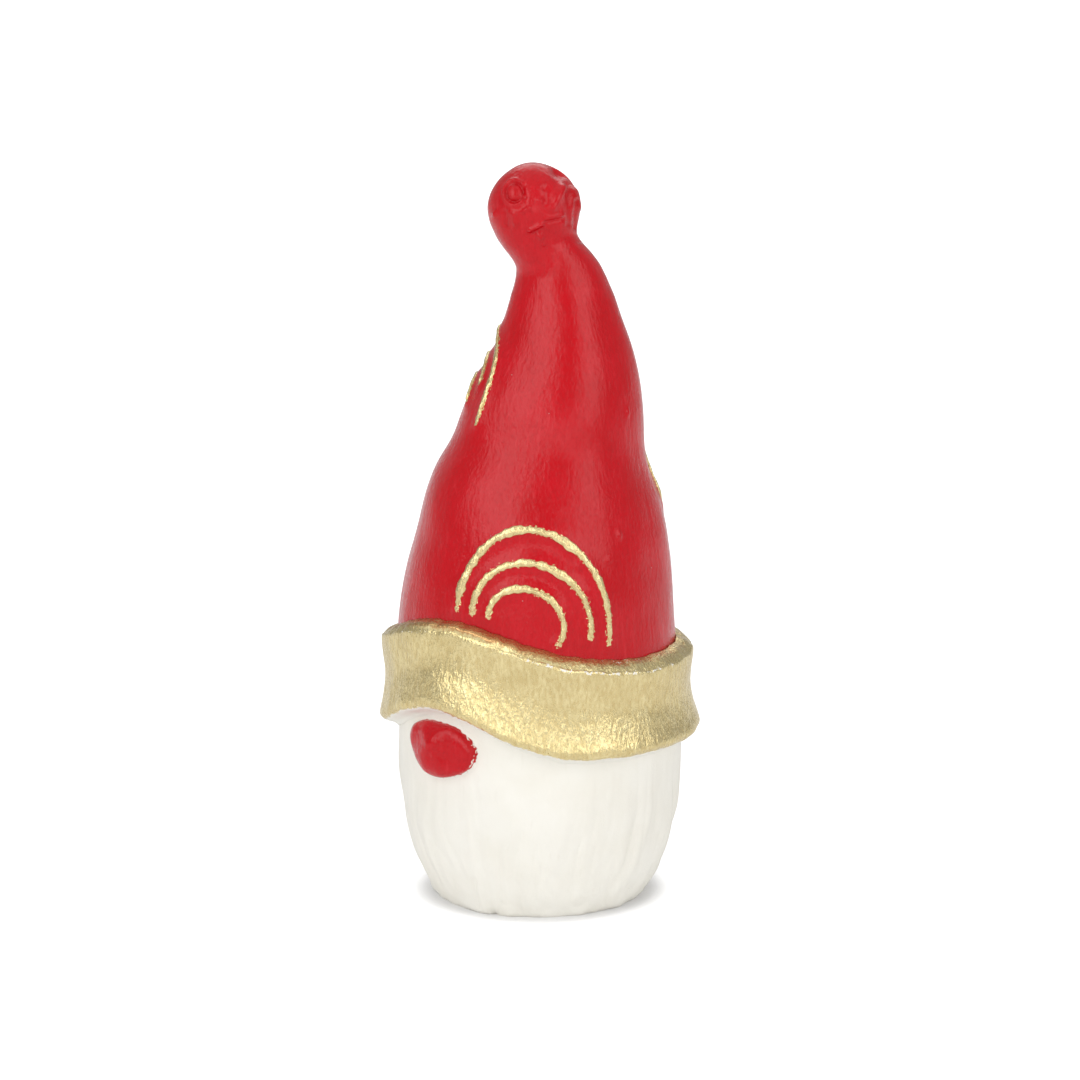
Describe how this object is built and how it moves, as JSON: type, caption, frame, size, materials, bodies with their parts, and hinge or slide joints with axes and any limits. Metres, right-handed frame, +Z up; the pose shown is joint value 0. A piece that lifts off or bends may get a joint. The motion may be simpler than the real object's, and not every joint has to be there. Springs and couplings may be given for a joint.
{
  "type": "garden gnome figurine",
  "caption": "Small limbless ceramic gnome: white bearded body, red nose, gold cuff, tall leaning red hat with gold arches and a ball tip.",
  "frame": {"origin": "middle of the flat foot that the gnome stands on", "axes": "+Z up through the hat, -Y out through the nose, +X to the gnome's own left"},
  "size_m": [0.0522, 0.0522, 0.12],
  "materials": {
    "white_clay": "satin",
    "red_paint": "gloss",
    "gold_paint": "satin"
  },
  "bodies": {
    "root": {"beard_body": "white_clay", "base_disc": "white_clay", "nose": "red_paint", "hat_shell": "red_paint", "pompom": "red_paint", "hat_cuff": "gold_paint", "arch_left_outer": "gold_paint", "arch_left_middle": "gold_paint", "arch_left_inner": "gold_paint", "arch_back_outer": "gold_paint", "arch_back_middle": "gold_paint", "arch_back_inner": "gold_paint", "arch_right_outer": "gold_paint", "arch_right_middle": "gold_paint", "arch_right_inner": "gold_paint", "arch_upper_right_outer": "gold_paint", "arch_upper_right_middle": "gold_paint", "arch_upper_right_inner": "gold_paint", "arch_upper_back_outer": "gold_paint", "arch_upper_back_middle": "gold_paint", "arch_upper_back_inner": "gold_paint"}
  },
  "joints": []
}
